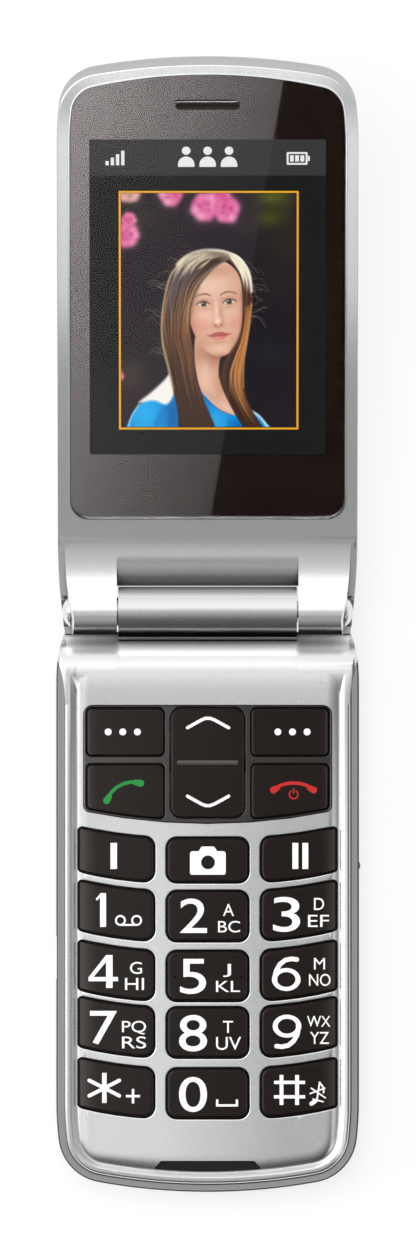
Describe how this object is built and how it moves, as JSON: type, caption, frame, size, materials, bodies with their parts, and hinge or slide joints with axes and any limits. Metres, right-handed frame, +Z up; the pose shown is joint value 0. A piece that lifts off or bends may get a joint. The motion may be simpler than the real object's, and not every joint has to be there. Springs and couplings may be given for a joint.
{
  "type": "flip phone",
  "caption": "Clamshell mobile phone, opened: keypad base with navigation block, barrel hinge, lid with tall display window and earpiece slot.",
  "frame": {"origin": "centre of the flat back face of the base, on which the open phone lies", "axes": "+Z up out of the keypad, +Y towards the hinge and the lid, +X to the right of someone using the keypad"},
  "size_m": [0.0558, 0.2077, 0.0409],
  "materials": {
    "shell_silver": "satin metallic silver paint",
    "housing_grey": "satin metallic grey paint",
    "trim": "satin",
    "key_black": "semi-gloss, moulded",
    "bezel_black": "semi-gloss",
    "insert_black": "matt",
    "window": "hard-coated acrylic, black printed border",
    "lcd": "lit display under the window",
    "camera_glass": "polished",
    "battery_wrap": "bare label, matt",
    "contact_gold": "gold plated",
    "board": "solder resist",
    "steel": "stamped",
    "frame_metal": "stamped",
    "rubber_mat": "silicone, matt",
    "speaker_black": "matt",
    "mesh_grey": "fine mesh, dark",
    "carrier": "natural plastic",
    "cable": "polyimide film"
  },
  "bodies": {
    "base": {"base_front_cover": "shell_silver", "base_rear_housing": "housing_grey", "base_trim_ring": "trim", "nav_bezel": "bezel_black", "chin_insert": "insert_black", "battery_cover": "housing_grey", "battery": "battery_wrap", "battery_contacts": "contact_gold", "main_board": "board", "shield_cans": "steel", "dome_sheet": "steel", "keypad_mat": "rubber_mat", "microphone": "steel", "loudspeaker": "speaker_black", "vibration_motor": "steel", "usb_socket": "steel", "sim_holder": "steel", "antenna_carrier": "carrier", "housing_screws": "steel", "hinge_cartridge": "steel", "hinge_sleeve": "steel", "flex_cable": "cable", "side_switch_block": "speaker_black"},
    "lid": {"lid_inner_cover": "shell_silver", "lid_outer_cover": "shell_silver", "display_window": "window", "lcd_module": "lcd", "lcd_frame": "frame_metal", "lid_board": "board", "earpiece": "speaker_black", "earpiece_mesh": "mesh_grey", "camera_module": "speaker_black", "camera_window": "camera_glass", "hinge_caps": "shell_silver", "hinge_cam_head": "steel", "lid_magnet": "steel"},
    "switch": {"side_slider": "shell_silver"},
    "rocker": {"nav_rocker": "key_black"},
    "soft_key_left_body": {"soft_key_left": "key_black"},
    "soft_key_right_body": {"soft_key_right": "key_black"},
    "call_key_body": {"call_key": "key_black"},
    "end_key_body": {"end_key": "key_black"},
    "memory_key_1_body": {"memory_key_1": "key_black"},
    "camera_key_body": {"camera_key": "key_black"},
    "memory_key_2_body": {"memory_key_2": "key_black"},
    "key_1_body": {"key_1": "key_black"},
    "key_2_body": {"key_2": "key_black"},
    "key_3_body": {"key_3": "key_black"},
    "key_4_body": {"key_4": "key_black"},
    "key_5_body": {"key_5": "key_black"},
    "key_6_body": {"key_6": "key_black"},
    "key_7_body": {"key_7": "key_black"},
    "key_8_body": {"key_8": "key_black"},
    "key_9_body": {"key_9": "key_black"},
    "key_star_body": {"key_star": "key_black"},
    "key_0_body": {"key_0": "key_black"},
    "key_hash_body": {"key_hash": "key_black"}
  },
  "joints": [
    {"name": "lid_hinge", "type": "hinge", "parent": "base", "child": "lid", "pos_m": [0, 0.0535, 0.0111], "axis": [1, 0, 0], "range_deg": [0, 163]},
    {"name": "nav_tilt", "type": "hinge", "parent": "base", "child": "rocker", "pos_m": [0, 0.0258, 0.0089], "axis": [1, 0, 0], "range_deg": [-1.8, 1.8], "stiffness_Nm_per_rad": 0.003},
    {"name": "side_switch_slide", "type": "slide", "parent": "base", "child": "switch", "axis": [0, 1, 0], "range_m": [0, 0.0015]},
    {"name": "soft_key_left_press", "type": "slide", "parent": "base", "child": "soft_key_left_body", "axis": [0, 0, -1], "range_m": [0, 0.00035], "stiffness_N_per_m": 60, "springref_m": -0.0003},
    {"name": "soft_key_right_press", "type": "slide", "parent": "base", "child": "soft_key_right_body", "axis": [0, 0, -1], "range_m": [0, 0.00035], "stiffness_N_per_m": 60, "springref_m": -0.0003},
    {"name": "call_key_press", "type": "slide", "parent": "base", "child": "call_key_body", "axis": [0, 0, -1], "range_m": [0, 0.00035], "stiffness_N_per_m": 60, "springref_m": -0.0003},
    {"name": "end_key_press", "type": "slide", "parent": "base", "child": "end_key_body", "axis": [0, 0, -1], "range_m": [0, 0.00035], "stiffness_N_per_m": 60, "springref_m": -0.0003},
    {"name": "memory_key_1_press", "type": "slide", "parent": "base", "child": "memory_key_1_body", "axis": [0, 0, -1], "range_m": [0, 0.00035], "stiffness_N_per_m": 60, "springref_m": -0.0003},
    {"name": "camera_key_press", "type": "slide", "parent": "base", "child": "camera_key_body", "axis": [0, 0, -1], "range_m": [0, 0.00035], "stiffness_N_per_m": 60, "springref_m": -0.0003},
    {"name": "memory_key_2_press", "type": "slide", "parent": "base", "child": "memory_key_2_body", "axis": [0, 0, -1], "range_m": [0, 0.00035], "stiffness_N_per_m": 60, "springref_m": -0.0003},
    {"name": "key_1_press", "type": "slide", "parent": "base", "child": "key_1_body", "axis": [0, 0, -1], "range_m": [0, 0.00035], "stiffness_N_per_m": 60, "springref_m": -0.0003},
    {"name": "key_2_press", "type": "slide", "parent": "base", "child": "key_2_body", "axis": [0, 0, -1], "range_m": [0, 0.00035], "stiffness_N_per_m": 60, "springref_m": -0.0003},
    {"name": "key_3_press", "type": "slide", "parent": "base", "child": "key_3_body", "axis": [0, 0, -1], "range_m": [0, 0.00035], "stiffness_N_per_m": 60, "springref_m": -0.0003},
    {"name": "key_4_press", "type": "slide", "parent": "base", "child": "key_4_body", "axis": [0, 0, -1], "range_m": [0, 0.00035], "stiffness_N_per_m": 60, "springref_m": -0.0003},
    {"name": "key_5_press", "type": "slide", "parent": "base", "child": "key_5_body", "axis": [0, 0, -1], "range_m": [0, 0.00035], "stiffness_N_per_m": 60, "springref_m": -0.0003},
    {"name": "key_6_press", "type": "slide", "parent": "base", "child": "key_6_body", "axis": [0, 0, -1], "range_m": [0, 0.00035], "stiffness_N_per_m": 60, "springref_m": -0.0003},
    {"name": "key_7_press", "type": "slide", "parent": "base", "child": "key_7_body", "axis": [0, 0, -1], "range_m": [0, 0.00035], "stiffness_N_per_m": 60, "springref_m": -0.0003},
    {"name": "key_8_press", "type": "slide", "parent": "base", "child": "key_8_body", "axis": [0, 0, -1], "range_m": [0, 0.00035], "stiffness_N_per_m": 60, "springref_m": -0.0003},
    {"name": "key_9_press", "type": "slide", "parent": "base", "child": "key_9_body", "axis": [0, 0, -1], "range_m": [0, 0.00035], "stiffness_N_per_m": 60, "springref_m": -0.0003},
    {"name": "key_star_press", "type": "slide", "parent": "base", "child": "key_star_body", "axis": [0, 0, -1], "range_m": [0, 0.00035], "stiffness_N_per_m": 60, "springref_m": -0.0003},
    {"name": "key_0_press", "type": "slide", "parent": "base", "child": "key_0_body", "axis": [0, 0, -1], "range_m": [0, 0.00035], "stiffness_N_per_m": 60, "springref_m": -0.0003},
    {"name": "key_hash_press", "type": "slide", "parent": "base", "child": "key_hash_body", "axis": [0, 0, -1], "range_m": [0, 0.00035], "stiffness_N_per_m": 60, "springref_m": -0.0003}
  ]
}
